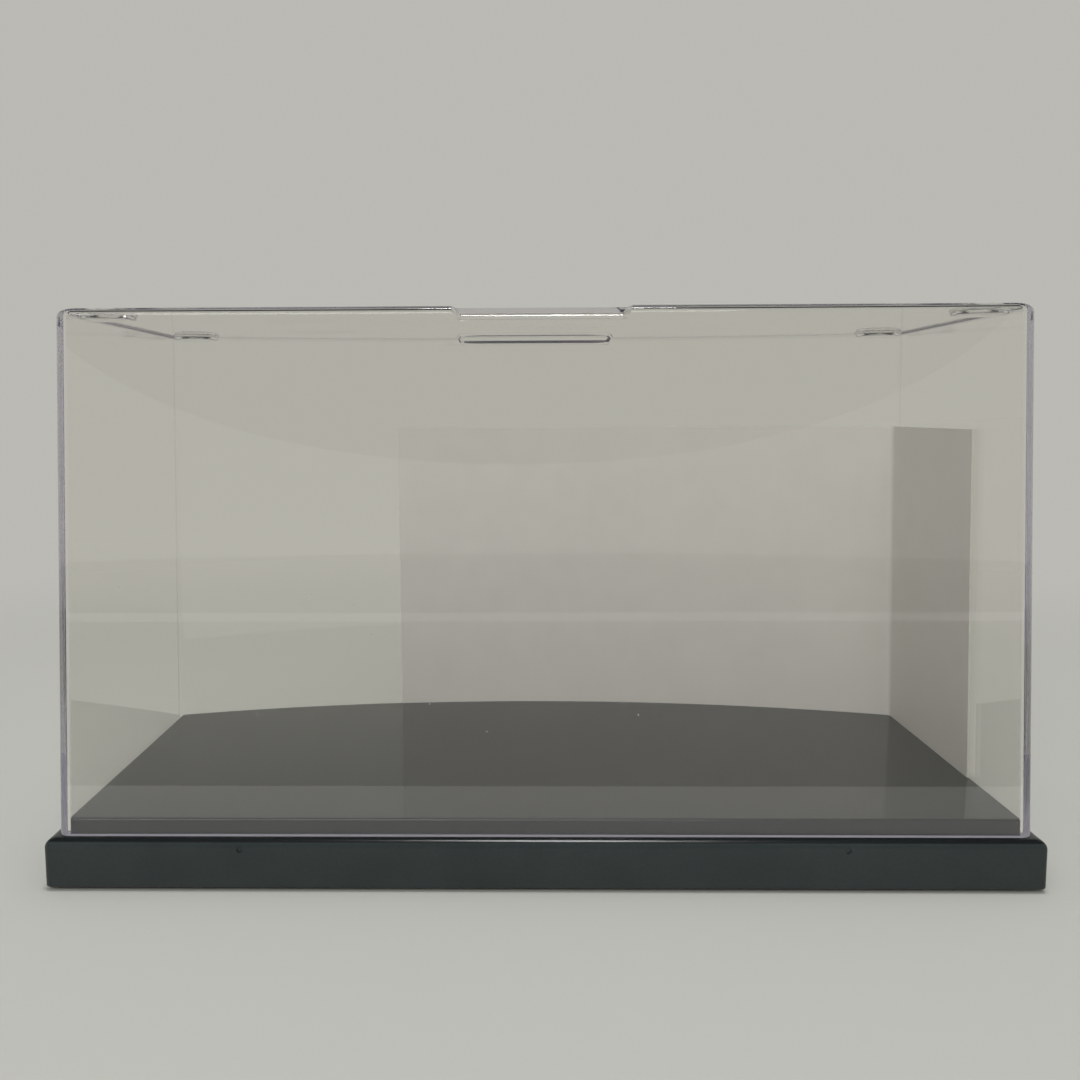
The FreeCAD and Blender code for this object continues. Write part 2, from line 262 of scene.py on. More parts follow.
class Graph:
    """A node tree; add makes any node and gives back one of its outputs as a wire."""

    def __init__(self, tree):
        self.tree = tree

    @staticmethod
    def pick(sockets, key):
        if isinstance(key, int):
            return sockets[key]
        return next(socket for socket in sockets if socket.name == key and socket.enabled)

    def add(self, kind, inputs=None, out=0, **settings):
        node = self.tree.nodes.new(kind)
        for key, value in settings.items():
            setattr(node, key, value)
        for key, value in (inputs or {}).items():
            self.feed(self.pick(node.inputs, key), value)
        return Wire(self, self.pick(node.outputs, out))

    def feed(self, socket, value):
        for wire in value if isinstance(value, list) else [value]:
            if isinstance(wire, Wire):
                self.tree.links.new(wire.socket, socket)
            else:
                socket.default_value = wire

    def sum(self, operation, *terms):
        vectors = [isinstance(term, Wire) and term.socket.type == "VECTOR" for term in terms]
        if not any(vectors):
            return self.add("ShaderNodeMath", dict(enumerate(terms)), operation=operation)
        if operation == "MULTIPLY" and not all(vectors):
            vector, scale = terms if vectors[0] else reversed(terms)
            return self.add("ShaderNodeVectorMath", {0: vector, "Scale": scale}, operation="SCALE")
        return self.add("ShaderNodeVectorMath", dict(enumerate(terms)), operation=operation)

    def vector(self, x=0.0, y=0.0, z=0.0):
        return self.add("ShaderNodeCombineXYZ", {"X": x, "Y": y, "Z": z})

    def parts(self, vector):
        node = self.add("ShaderNodeSeparateXYZ", {"Vector": vector}).socket.node
        return [Wire(self, socket) for socket in node.outputs]

    def blend(self, share, first, second):
        return self.add("ShaderNodeMix", {"Factor": share, "A": shade(first), "B": shade(second)},
                        out="Result", data_type="RGBA")

    def ray(self, kind):
        return self.add("ShaderNodeLightPath", out=f"Is {kind} Ray")


# Geometry trees

class Shape(Graph):
    """A geometry tree with a named input for each length and count and for its material."""

    def __init__(self, name, lengths, counts=()):
        super().__init__(bpy.data.node_groups.new(name, "GeometryNodeTree"))
        kinds = {"Geometry": "Geometry", **dict.fromkeys(lengths, "Float"), **dict.fromkeys(counts, "Int"),
                 "Material": "Material"}
        for label, kind in kinds.items():
            self.tree.interface.new_socket(label, in_out="INPUT", socket_type=f"NodeSocket{kind}")
        self.tree.interface.new_socket("Geometry", in_out="OUTPUT", socket_type="NodeSocketGeometry")
        entry = self.tree.nodes.new("NodeGroupInput")
        self.given = {socket.name: Wire(self, socket) for socket in entry.outputs if socket.name}

    def __getitem__(self, label):
        return self.given[label]

    def store(self, geometry, name, value, kind=VECTOR):
        return self.add("GeometryNodeStoreNamedAttribute", {
            "Geometry": geometry, "Name": name, "Value": value}, data_type=kind, domain="POINT")

    def recall(self, name, kind=VECTOR):
        return self.add("GeometryNodeInputNamedAttribute", {"Name": name}, data_type=kind)

    def position(self):
        return self.add("GeometryNodeInputPosition")

    def index(self):
        return self.add("GeometryNodeInputIndex")

    def sampled(self, outline):
        """The place of the point with the same number on another outline."""
        return self.add("GeometryNodeSampleIndex", {
            "Geometry": outline, "Value": self.position(), "Index": self.index()},
            data_type=VECTOR, domain="POINT")

    def swept(self, path):
        """The drawn profile along a path; points remember their inset or radius, x, and their height, z."""
        x, _, z = self.parts(self.position())
        marked = self.store(self.store(self["Geometry"], "inset", x, FLOAT), "height", z, FLOAT)
        profile = self.add("GeometryNodeMeshToCurve", {"Mesh": marked})
        return self.add("GeometryNodeCurveToMesh", {"Curve": path, "Profile Curve": profile})

    def moved(self, geometry, spot):
        return self.add("GeometryNodeSetPosition", {"Geometry": geometry, "Position": spot})

    def deliver(self, geometry):
        """Ends the tree in plain, smooth geometry with its material."""
        real = self.add("GeometryNodeRealizeInstances", {"Geometry": geometry})
        smooth = self.add("GeometryNodeSetShadeSmooth", {"Geometry": real})
        dressed_mesh = self.add("GeometryNodeSetMaterial", {"Geometry": smooth, "Material": self["Material"]})
        exit_node = self.tree.nodes.new("NodeGroupOutput")
        self.feed(exit_node.inputs["Geometry"], dressed_mesh)
        return self.tree

    def string_arcs(self, arcs):
        """One curve through arcs in order, each with radius, centre x and y, start, sweep and point count."""
        pieces = []
        for place, (radius, x, y, start, sweep, count) in enumerate(arcs):
            arc = self.add("GeometryNodeCurveArc", {
                "Resolution": count, "Radius": radius, "Start Angle": start, "Sweep Angle": sweep},
                mode="RADIUS")
            laid = self.add("GeometryNodeTransform", {"Geometry": arc, "Translation": self.vector(x, y)})
            along = self.add("GeometryNodeSplineParameter", out="Factor")
            pieces.append(self.store(laid, "order", along * 0.5 + float(place), FLOAT))
        joined = self.add("GeometryNodeJoinGeometry", {"Geometry": pieces})
        points = self.add("GeometryNodeCurveToPoints", {"Curve": joined}, mode="EVALUATED")
        order = self.recall("order", FLOAT)
        strung = self.add("GeometryNodePointsToCurves", {"Points": points, "Weight": order})
        return self.add("GeometryNodeCurveSplineType", {"Curve": strung}, spline_type="POLY")


def bow_corner(radius, half, corner):
    """A corner's middle on a bow that it touches, across and up from the bow's, and where they touch."""
    across = half - corner
    reach = radius - corner
    rise = (reach * reach - across * across).call("SQRT")
    return across, rise, rise.call("ARCTAN2", across)


def plan_outline(shape, inset, corner):
    """The plan outline at an inset, with a straight front and sides and the bowed rear."""
    front = shape["Depth"] * 0.5 - inset
    radius = shape["Bow radius"] - inset
    middle = shape["Bow radius"] - shape["Depth"] * 0.5
    across, rise, turn = bow_corner(radius, shape["Width"] * 0.5 - inset, corner)
    step = (PI - 2.0 * turn) / (shape["Bow points"] + 1.0)
    count = shape["Corner points"]
    return shape.string_arcs((
        (corner, -across, corner - front, PI, PI / 2, count),
        (corner, across, corner - front, PI * 1.5, PI / 2, count),
        (corner, across, rise - middle, 0.0, turn, count),
        (radius, 0.0, -middle, turn + step, PI - 2.0 * (turn + step), shape["Bow points"]),
        (corner, -across, rise - middle, PI - turn, turn, count),
    ))


def moulding_tree():
    """Sweeps a drawn profile, inset against height, round the plan outline.

    Corners shrink with the inset down to their least radius, and keep that from there on."""
    shape = Shape("moulding", ("Width", "Depth", "Bow radius", "Corner radius", "Least corner", "Reach"),
                  ("Corner points", "Bow points"))
    corner, least, reach = shape["Corner radius"], shape["Least corner"], shape["Reach"]
    swing = corner - least
    least_swing = 1e-9
    place = shape.position()
    turned = shape.sampled(plan_outline(shape, swing, least))
    inner = shape.sampled(plan_outline(shape, reach, least))
    path = shape.store(plan_outline(shape, 0.0, corner), "foot", place)
    path = shape.store(path, "ease", (turned - place) * (1.0 / swing.most(least_swing)))
    path = shape.store(path, "draw", (inner - turned) * (1.0 / (reach - swing)))
    path = shape.add("GeometryNodeSetSplineCyclic", {"Geometry": path, "Cyclic": True})
    inset = shape.recall("inset", FLOAT)
    spot = (shape.recall("foot") + shape.recall("ease") * inset.least(swing)
            + shape.recall("draw") * (inset - swing).most(0.0)
            + shape.vector(z=shape.recall("height", FLOAT)))
    return shape.deliver(shape.moved(shape.swept(path), spot))


def corner_turning_tree():
    """Turns a drawn profile, radius against height, and sets one over each of the four foot places."""
    shape = Shape("corner_turning", ("Across", "Front", "Rear"), ("Segments",))
    ring = shape.add("GeometryNodeCurvePrimitiveCircle", {"Resolution": shape["Segments"], "Radius": 1.0},
                     mode="RADIUS")
    ring = shape.store(ring, "out", shape.position())
    spot = (shape.recall("out") * shape.recall("inset", FLOAT)
            + shape.vector(z=shape.recall("height", FLOAT)))
    turned = shape.add("GeometryNodeMergeByDistance", {
        "Geometry": shape.moved(shape.swept(ring), spot), "Distance": 1e-6})
    index = shape.index()
    side = index.call("MODULO", 2.0) * 2.0 - 1.0
    ahead = index.call("LESS_THAN", 1.5)
    y = shape["Front"] * ahead + shape["Rear"] * (1.0 - ahead)
    spots = shape.add("GeometryNodePoints", {"Count": 4, "Position": shape.vector(side * shape["Across"], y)})
    return shape.deliver(shape.add("GeometryNodeInstanceOnPoints", {"Points": spots, "Instance": turned}))


def bend_path(shape, inset):
    """The sheet's path in plan at an inset: along the bow, round the fold and forward along the side."""
    fold = shape["Fold radius"]
    radius = shape["Bow radius"] - inset
    side = shape["Side"] - inset
    across, rise, turn = bow_corner(radius, side, fold)
    far = (shape["Left end"] / radius).call("ARCCOSINE")
    corner_y = rise + shape["Bow centre"]
    bow_points, fold_points, side_points = 110, 12, 44
    step = (far - turn) / float(bow_points)
    # The straight side is an arc so wide that it is a line
    wide = 1000.0
    gap = 1.5 * MM / wide
    return shape.string_arcs((
        (radius, 0.0, shape["Bow centre"], far, turn + step - far, bow_points),
        (fold, across, corner_y, turn, -turn, fold_points),
        (wide, side - wide, corner_y, -gap, (shape["Front end"] - corner_y) / wide + gap, side_points),
    ))


def folded_sheet_tree():
    """A sheet that stands along the bow, folds at the corner and runs forward along the right side."""
    shape = Shape("folded_sheet", ("Bow radius", "Bow centre", "Side", "Fold radius", "Left end", "Front end",
                                   "Foot", "Top", "Lean", "Wave"))
    place = shape.position()
    drawn_in = shape.sampled(bend_path(shape, shape["Lean"]))
    path = shape.store(bend_path(shape, 0.0), "foot", place)
    path = shape.store(path, "draw", drawn_in - place)
    outward = shape.add("ShaderNodeVectorMath", {
        0: shape.vector(z=1.0), 1: shape.add("GeometryNodeInputTangent")}, operation="CROSS_PRODUCT")
    path = shape.store(path, "out", outward)
    height = shape.recall("height", FLOAT)
    climb = (height - shape["Foot"]) / (shape["Top"] - shape["Foot"])
    stand = shape.recall("foot") + shape.recall("draw") * climb + shape.vector(z=height)
    swell = shape.add("ShaderNodeTexNoise", {"Vector": stand, "Scale": 19.0, "Detail": 1.0}, out="Fac")
    spot = stand + shape.recall("out") * ((swell - 0.5) * shape["Wave"])
    return shape.deliver(shape.moved(shape.swept(path), spot))


# Mesh helpers

def rounded(corners, steps=8):
    """A drawn line through corners (x, z, radius), with each corner that has a radius turned into an arc."""
    line = []
    for place, (x, z, radius) in enumerate(corners):
        here = Vector((x, z))
        if radius <= 0 or place in (0, len(corners) - 1):
            line.append(here)
            continue
        before = (Vector(corners[place - 1][:2]) - here).normalized()
        after = (Vector(corners[place + 1][:2]) - here).normalized()
        half = before.angle(after) / 2
        centre = here + (before + after).normalized() * (radius / math.sin(half))
        start = here + before * (radius / math.tan(half)) - centre
        end = here + after * (radius / math.tan(half)) - centre
        sweep = PI - 2 * half
        for step in range(steps + 1):
            share = step / steps
            arm = start * math.sin((1 - share) * sweep) + end * math.sin(share * sweep)
            line.append(centre + arm / math.sin(sweep))
    return line


def linked(name, data):
    """An object in the scene that shows a mesh, a lamp or a camera."""
    piece = bpy.data.objects.new(name, data)
    bpy.context.scene.collection.objects.link(piece)
    return piece


def meshed(name, corners, edges, faces):
    mesh = bpy.data.meshes.new(name)
    mesh.from_pydata(corners, edges, faces)
    return linked(name, mesh)


def settle(piece):
    """Turns a piece with modifiers into a plain mesh."""
    depsgraph = bpy.context.evaluated_depsgraph_get()
    mesh = bpy.data.meshes.new_from_object(piece.evaluated_get(depsgraph), preserve_all_data_layers=True,
                                           depsgraph=depsgraph)
    old = piece.data
    piece.modifiers.clear()
    piece.data = mesh
    bpy.data.meshes.remove(old)
    mesh.name = piece.name
    return piece


def grown(name, line, tree, sizes):
    """Runs a geometry tree on a drawn line, x across and z up, and keeps the result as a plain mesh."""
    edges = [(step, step + 1) for step in range(len(line) - 1)]
    piece = meshed(name, [(point.x, 0.0, point.y) for point in line], edges, [])
    shape = piece.modifiers.new("shape", "NODES")
    shape.node_group = tree
    identifiers = {item.name: item.identifier for item in tree.interface.items_tree if item.in_out == "INPUT"}
    for label, value in sizes.items():
        shape[identifiers[label]] = value
    settle(piece)
    if not piece.data.polygons:
        raise RuntimeError(f"{name} came out empty")
    for layer in ("inset", "height", "foot", "ease", "draw", "out", "order"):
        if layer in piece.data.attributes:
            piece.data.attributes.remove(piece.data.attributes[layer])
    return piece


def sealed(piece):
    """Closes a piece's open rings and turns its faces outward."""
    body = bmesh.new()
    body.from_mesh(piece.data)
    bmesh.ops.remove_doubles(body, verts=body.verts, dist=1e-7)
    open_edges = [edge for edge in body.edges if edge.is_boundary]
    bmesh.ops.holes_fill(body, edges=open_edges)
    bmesh.ops.recalc_face_normals(body, faces=body.faces)
    body.to_mesh(piece.data)
    body.free()
    return piece


def scored(piece, places):
    """Cuts a piece's faces at places along X, so that what is carved between two places shades only there."""
    body = bmesh.new()
    body.from_mesh(piece.data)
    for x in places:
        bmesh.ops.bisect_plane(body, geom=[*body.verts, *body.edges, *body.faces], dist=1e-7,
                               plane_co=(x, 0, 0), plane_no=(1, 0, 0))
    body.to_mesh(piece.data)
    body.free()
    return piece


def circle(segments):
    turns = [2 * PI * step / segments for step in range(segments)]
    return [(math.cos(turn), math.sin(turn)) for turn in turns]


def ring_faces(count, rings=2):
    """Faces between like rings of corners that are listed one after the other."""
    faces = []
    for first in range(0, count * (rings - 1), count):
        for step in range(count):
            here, after = first + step, first + (step + 1) % count
            faces.append((here, after, after + count, here + count))
    return faces


def solid(name, corners):
    """A closed piece between two like rings of corners."""
    return sealed(meshed(name, corners, [], ring_faces(len(corners) // 2)))


def block(name, low, high, flare=0.0):
    """A box whose ends along X lean outwards by flare towards the top."""
    corners = []
    for height, out in ((low[2], 0.0), (high[2], flare)):
        left = low[0] - out
        right = high[0] + out
        corners += [(left, low[1], height), (right, low[1], height), (right, high[1], height),
                    (left, high[1], height)]
    return solid(name, corners)


def trough(name, sign, ends, heights, half, flare, edge, radius):
    """A block like a notch, whose floor runs over the wall's outer edge in a round."""
    near, far = ends if sign > 0 else reversed(ends)
    floor, top = heights
    low = floor - 2 * radius
    line = rounded(((near, floor, 0), (sign * edge, floor, radius), (sign * edge, low, 0)), 10)
    line += [Vector((far, low)), Vector((far, top)), Vector((near, top))]
    corners = []
    for side in (-1, 1):
        for point in line:
            reach = half + flare * max(0.0, point.y - floor) / (top - floor)
            corners.append((side * reach, point.x, point.y))
    return solid(name, corners)


def turned_y(name, x, y, z, radius, depth, segments=32):
    """A short cylinder along Y."""
    return solid(name, [(x + radius * across, y + reach, z + radius * up)
                        for reach in (0.0, depth) for across, up in circle(segments)])


def carve(piece, tools):
    """Cuts tools from a piece, and discards them."""
    for tool in tools:
        step = piece.modifiers.new(tool.name, "BOOLEAN")
        step.operation = "DIFFERENCE"
        step.solver = "EXACT"
        step.object = tool
    settle(piece)
    for tool in tools:
        mesh = tool.data
        bpy.data.objects.remove(tool)
        bpy.data.meshes.remove(mesh)
    return piece


def dressed(piece, finishes, body, nodes, second=None):
    """Gives a finished mesh its normals and finishes, and puts it on its body in place of its nodes.

    The faces that second picks take the second finish."""
    mesh = piece.data
    mesh.materials.clear()
    for finish in finishes:
        mesh.materials.append(finish)
    mesh.polygons.foreach_set("use_smooth", [True] * len(mesh.polygons))
    for face in mesh.polygons:
        face.material_index = int(second is not None and second(face))
    mesh.set_sharp_from_angle(angle=math.radians(MOULDED_SHARP))
    even = piece.modifiers.new("even", "WEIGHTED_NORMAL")
    even.keep_sharp = True
    settle(piece)
    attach(piece, body)
    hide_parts(*nodes)
    return piece


# Finishes

class Finish(Graph):
    """A material's node tree, with the patterns that a surface is made of."""

    def __init__(self, name):
        self.material = bpy.data.materials.new(name)
        self.material.use_nodes = True
        self.material.node_tree.nodes.clear()
        super().__init__(self.material.node_tree)

    @cached_property
    def place(self):
        return self.add("ShaderNodeTexCoord", out="Object")

    def noise(self, scale, detail=2.0, rough=0.5, place=None):
        return self.add("ShaderNodeTexNoise", {
            "Vector": place or self.place, "Scale": scale, "Detail": detail, "Roughness": rough}, out="Fac")

    def ramp(self, value, low, high):
        return self.add("ShaderNodeMapRange", {"Value": value, "From Min": low, "From Max": high},
                        interpolation_type="SMOOTHSTEP")

    def stretched(self, scale, turn=(0.0, 0.0, 0.0)):
        return self.add("ShaderNodeMapping", {"Vector": self.place, "Scale": scale, "Rotation": turn})

    def specks(self, scale, size, share):
        """Small round specks, in a share of a pattern's cells."""
        cells = {"Vector": self.place, "Scale": scale}
        near = self.add("ShaderNodeTexVoronoi", cells, out="Distance")
        draw = self.add("ShaderNodeTexVoronoi", cells, out="Color")
        lot = self.add("ShaderNodeSeparateColor", {"Color": draw}, out="Red")
        return self.ramp(near, size, size * 0.5) * lot.call("LESS_THAN", share)

    def hairlines(self, scale, turn, width):
        """Fine lines that run one way."""
        lines = self.noise(1.0, 1.0, place=self.stretched(scale, turn))
        return self.ramp((lines - 0.5).call("ABSOLUTE"), width, 0.0)

    def coat(self, tone, rough, relief, strength, depth, more=None):
        """A surface of a tone and roughness with a fine relief of a given depth."""
        surface = self.add("ShaderNodeBump", {"Height": relief, "Strength": strength, "Distance": depth})
        return self.add("ShaderNodeBsdfPrincipled", {
            "Base Color": tone, "Roughness": rough, "IOR": 1.5, "Normal": surface, **(more or {})})

    def mix(self, share, first, second):
        return self.add("ShaderNodeMixShader", {0: share, 1: first, 2: second})

    def show(self, shader, volume=None):
        output = self.tree.nodes.new("ShaderNodeOutputMaterial")
        self.feed(output.inputs["Surface"], shader)
        if volume is not None:
            self.feed(output.inputs["Volume"], volume)
        return self.material


def clear_plastic(finishes):
    """Polished clear plastic with smears, scratches and dust, which tints light that runs inside it."""
    paint = Finish("clear_moulding")
    handled = paint.ramp(paint.noise(26.0, detail=3.0), 0.5, 0.74)
    smear = handled * paint.ramp(paint.noise(330.0, detail=3.0), 0.42, 0.7)
    scratch = paint.hairlines((14.0, 300.0, 300.0), (0.0, 0.35, 0.2), width=0.006).most(
        paint.hairlines((320.0, 300.0, 12.0), (0.25, 0.1, 0.0), width=0.006))
    dust = paint.specks(250.0, size=0.045, share=0.16)
    swell = paint.noise(15.0, detail=1.0) + paint.noise(60.0, detail=1.0) * 0.06
    # The clear tint's warm grey is painted shade, darkening all that shows through the cover; the dust and
    # scratches are real
    tone = paint.blend(dust * 0.55 + scratch * 0.02, finishes.clear, DUST)
    rough = smear * 0.05 + dust * 0.3 + scratch * 0.03 + 0.004
    glass = paint.coat(tone, rough, swell, strength=0.35, depth=0.09 * MM,
                       more={"Transmission Weight": 1.0})
    open_way = paint.add("ShaderNodeBsdfTransparent", {"Color": (0.93, 0.93, 0.935, 1.0)})
    soft = paint.mix(paint.ray("Diffuse"), glass, open_way)
    shader = paint.mix(paint.ray("Shadow"), soft, open_way)
    depth = paint.add("ShaderNodeVolumeAbsorption", {"Color": shade(finishes.clear_edge), "Density": 3.0})
    return paint.show(shader, depth)


def ground_edge(finishes):
    """The matt foot of the clear walls, which the light inside them ends on."""
    paint = Finish("clear_foot")
    grain = paint.noise(2600.0)
    cloud = paint.noise(90.0, detail=3.0)
    tone = paint.blend(cloud, Vector(finishes.clear_foot) * 0.9, finishes.clear_foot)
    return paint.show(paint.coat(tone, 0.5 + grain * 0.2, grain, strength=0.4, depth=0.01 * MM))


def slate_tone(paint, dark, light):
    """The base's pigment, cloudy and finely speckled, and its scuffs."""
    pigment = paint.noise(42.0, detail=4.0, rough=0.6) * 0.7 + paint.noise(1400.0, detail=1.0) * 0.3
    rub = paint.hairlines((30.0, 900.0, 900.0), (0.0, 0.0, 0.3), width=0.004).most(
        paint.hairlines((700.0, 26.0, 700.0), (0.0, 0.0, 0.12), width=0.004))
    scuffs = rub * paint.ramp(paint.noise(55.0), 0.5, 0.72)
    return paint.blend(paint.ramp(pigment, 0.35, 0.68), dark, light), scuffs


def satin_slate(finishes, sizes):
    """The rim and the underside, with a smoother strip along the rim's upper edge whose darker tone is a
    painted reflection of a dim room.
    """
    paint = Finish("slate_satin")
    _, _, height = paint.parts(paint.place)
    # The strip along the rim's upper edge is smoother, and its darker tone is painted reflection of a dim room
    strip = paint.ramp(height, sizes.rim_top - 0.8 * MM, sizes.rim_top - 0.45 * MM)
    painted_reflection_tone = (0.003, 0.003, 0.0035)
    grain = paint.noise(3600.0)
    tone, scuffs = slate_tone(paint, Vector(finishes.slate) * 0.88, Vector(finishes.slate) * 1.12)
    tone = paint.blend(strip * 0.75, paint.blend(scuffs * 0.15, tone, SCUFF), painted_reflection_tone)
    relief = grain * (1.0 - strip) - scuffs * 0.15
    rough = 0.28 + grain * 0.06 - strip * 0.12
    return paint.show(paint.coat(tone, rough, relief, strength=0.45, depth=0.012 * MM,
                                 more={"Specular IOR Level": 0.3}))


def gloss_slate(finishes):
    """The platform, glossy under a thin film of handling and a little dust."""
    paint = Finish("slate_gloss")
    peel = paint.noise(420.0, detail=1.0)
    dust = paint.specks(420.0, size=0.05, share=0.2)
    film = paint.ramp(paint.noise(70.0, detail=3.0), 0.4, 0.8)
    tone, scuffs = slate_tone(paint, finishes.platform, Vector(finishes.platform) * 1.4)
    tone = paint.blend(scuffs * 0.15 + dust * 0.5, tone, SCUFF)
    relief = peel * 0.15 - scuffs * 0.15 + dust * 0.4
    rough = 0.085 + film * 0.06 + scuffs * 0.15 + dust * 0.3
    return paint.show(paint.coat(tone, rough, relief, strength=0.5, depth=0.012 * MM, more={"IOR": 1.46}))


def foot_rubber(finishes):
    """Matt rubber, mottled and a little dusty near the table."""
    paint = Finish("foot_pad")
    _, _, height = paint.parts(paint.place)
    mottle = paint.noise(260.0, detail=4.0, rough=0.6)
    grain = paint.noise(5200.0)
    dusty = paint.ramp(height, 0.3 * MM, 0.0) * paint.ramp(paint.noise(900.0, detail=3.0), 0.42, 0.66)
    pale = (0.034, 0.034, 0.033)
    table_dust = (0.16, 0.155, 0.145)
    tone = paint.blend(dusty * 0.5, paint.blend(mottle, finishes.rubber, pale), table_dust)
    rough = 0.72 + dusty * 0.15 + grain * 0.06
    return paint.show(paint.coat(tone, rough, grain + mottle * 0.4, strength=0.7, depth=0.02 * MM))


def paper(name, tone_of, rough, fibre_share, lean):
    """Card stock: cloudy formation, fibres both ways, a few darker fibres and a paler rubbed fold."""
    paint = Finish(name)
    cloud = paint.noise(130.0, detail=4.0, rough=0.6)
    level = paint.stretched((900.0, 900.0, 5200.0))
    upright = paint.stretched((5200.0, 5200.0, 700.0), (0.3, 0.2, 0.0))
    fibres = (paint.noise(1.0, detail=3.0, rough=0.6, place=level) * 0.5
              + paint.noise(1.0, detail=3.0, rough=0.6, place=upright) * 0.5)
    fleck = (paint.hairlines((240.0, 240.0, 1900.0), (0.5, 0.4, 0.3), width=0.01)
             * paint.ramp(paint.noise(300.0), 0.6, 0.72))
    formation = paint.ramp(cloud * 0.55 + fibres * 0.45, 0.3, 0.72)
    tone = paint.blend(formation, Vector(tone_of) * 0.95, tone_of)
    tone = paint.blend(fleck * 0.35 * fibre_share, tone, Vector(tone_of) * 0.55)
    x, y, z = paint.parts(paint.place)
    fold = x + (z - CARD_LOW.z) * math.tan(lean) - (CARD_HIGH.x - 1.0 * MM)
    fold_start, fold_end = CARD_LOW.y + 47 * MM, CARD_LOW.y + 51 * MM
    crease = (paint.ramp(fold.call("ABSOLUTE"), 1.4 * MM, 0.2 * MM)
              * paint.ramp(y, fold_start, fold_end))
    tone = paint.blend(crease * 0.35 * fibres, tone, RUBBED_FOLD)
    relief = fibres * fibre_share + cloud * 0.25
    matt = rough + fibres * 0.12 * fibre_share
    return paint.show(paint.coat(tone, matt, relief, strength=0.5, depth=0.03 * MM, more={"IOR": 1.45}))


# Pieces

def inset_plan(sizes, inset, corner, least, reach, finish):
    """Values of the moulding tree for an outline inset from the rim."""
    return {"Width": sizes.base_width - 2 * inset, "Depth": sizes.base_depth - 2 * inset,
            "Bow radius": sizes.rear_radius - inset, "Corner radius": corner, "Least corner": least,
            "Reach": reach, "Corner points": CORNER_POINTS, "Bow points": BOW_POINTS, "Material": finish}


def over_feet(sizes, name, line, finish, segments):
    """A closed piece that turns a line round each of the four foot places."""
    tree = bpy.data.node_groups.get("corner_turning") or corner_turning_tree()
    return sealed(grown(name, line, tree, {
        "Across": sizes.foot_x, "Front": sizes.foot_front, "Rear": sizes.foot_rear, "Segments": segments,
        "Material": finish}))


def cup(sizes, name, floor, foot, brim, top, finish, segments):
    """A round piece over each foot, from a floor with a rounded edge up to its brim."""
    line = rounded(((0.0, floor, 0), (foot, floor, sizes.moulded_round), (brim, top, 0), (0.0, top, 0)), 4)
    return over_feet(sizes, name, line, finish, segments)


def moulding(name, line, values):
    """A closed piece that sweeps a line round the plan."""
    tree = bpy.data.node_groups.get("moulding") or moulding_tree()
    return sealed(grown(name, line, tree, values))


def build_base(settings):
    sizes = settings.sizes
    finish = satin_slate(settings.finishes, sizes)
    plan = inset_plan(sizes, 0.0, sizes.rim_corner, sizes.platform_corner, BASE_REACH, finish)
    sole_end = 3 * MM
    top_end = 8 * MM
    fillet = 0.25 * MM
    skin = rounded((
        (sole_end, sizes.rim_foot, 0),
        (0.0, sizes.rim_foot, sizes.rim_foot_radius),
        (0.0, sizes.rim_top, sizes.rim_top_radius),
        (sizes.platform_inset, sizes.rim_top, fillet),
        (sizes.platform_inset, sizes.platform_top, sizes.platform_round),
        (top_end, sizes.platform_top, 0),
    ))
    reach = sizes.mark_spacing / 2
    beside = 1.1 * MM
    base = scored(moulding("dark_base", skin, plan),
                  (-reach - beside, beside - reach, reach - beside, reach + beside))

    # The underside: a stepped hollow, with the ribs and the foot bosses left standing
    ceiling = sizes.platform_top - sizes.base_wall
    past_ceiling = ceiling + OVERRUN
    shelf = sizes.rim_top - sizes.base_wall
    below = sizes.rim_foot - OVERRUN
    deep = sizes.platform_inset + sizes.base_wall
    ceiling_end = 8.5 * MM
    hollow_round = 0.5 * MM
    hollow = moulding("hollow", rounded((
        (sizes.base_wall, below, 0),
        (sizes.base_wall, shelf, hollow_round),
        (deep, shelf, sizes.moulded_round),
        (deep, ceiling, hollow_round),
        (ceiling_end, ceiling, 0),
    ), 5), plan)
    rib_foot = ceiling - sizes.rib_height
    half = sizes.rib_thickness / 2
    ribs = []
    for place, share in enumerate(CROSS_RIB_SHARES):
        x = sizes.base_width / 2 * share
        ribs.append(block(f"rib_{place}", (x - half, -sizes.base_depth, rib_foot),
                          (x + half, sizes.base_depth, past_ceiling)))
    y = LONG_RIB_SHARE * sizes.base_depth
    ribs.append(block("rib_long", (-sizes.base_width, y - half, rib_foot),
                      (sizes.base_width, y + half, past_ceiling)))
    boss_wall = 2 * MM
    boss_radius = sizes.foot_radius + boss_wall
    bosses = cup(sizes, "bosses", sizes.rim_foot, boss_radius, boss_radius, past_ceiling, finish,
                 BASE_SEGMENTS)
    carve(hollow, [*ribs, bosses])

    clearance = 0.1 * MM
    socket_radius = sizes.foot_radius + clearance
    socket_round = 0.15 * MM
    sockets = over_feet(sizes, "sockets", rounded((
        (0.0, below, 0), (socket_radius, below, 0), (socket_radius, sizes.foot_top, socket_round),
        (0.0, sizes.foot_top, 0)), 3), finish, BASE_SEGMENTS)
    front = -sizes.base_depth / 2
    marks = [turned_y(f"mark_{sign}", sign * reach, front - OVERRUN, sizes.mark_height, sizes.mark_radius,
                      sizes.mark_depth + OVERRUN) for sign in (-1, 1)]
    carve(base, [hollow, sockets, *marks])
    gloss_start = sizes.rim_top + 0.2 * MM
    dressed(base, [finish, gloss_slate(settings.finishes)], "base", ["base"],
            lambda face: face.center.z > gloss_start)


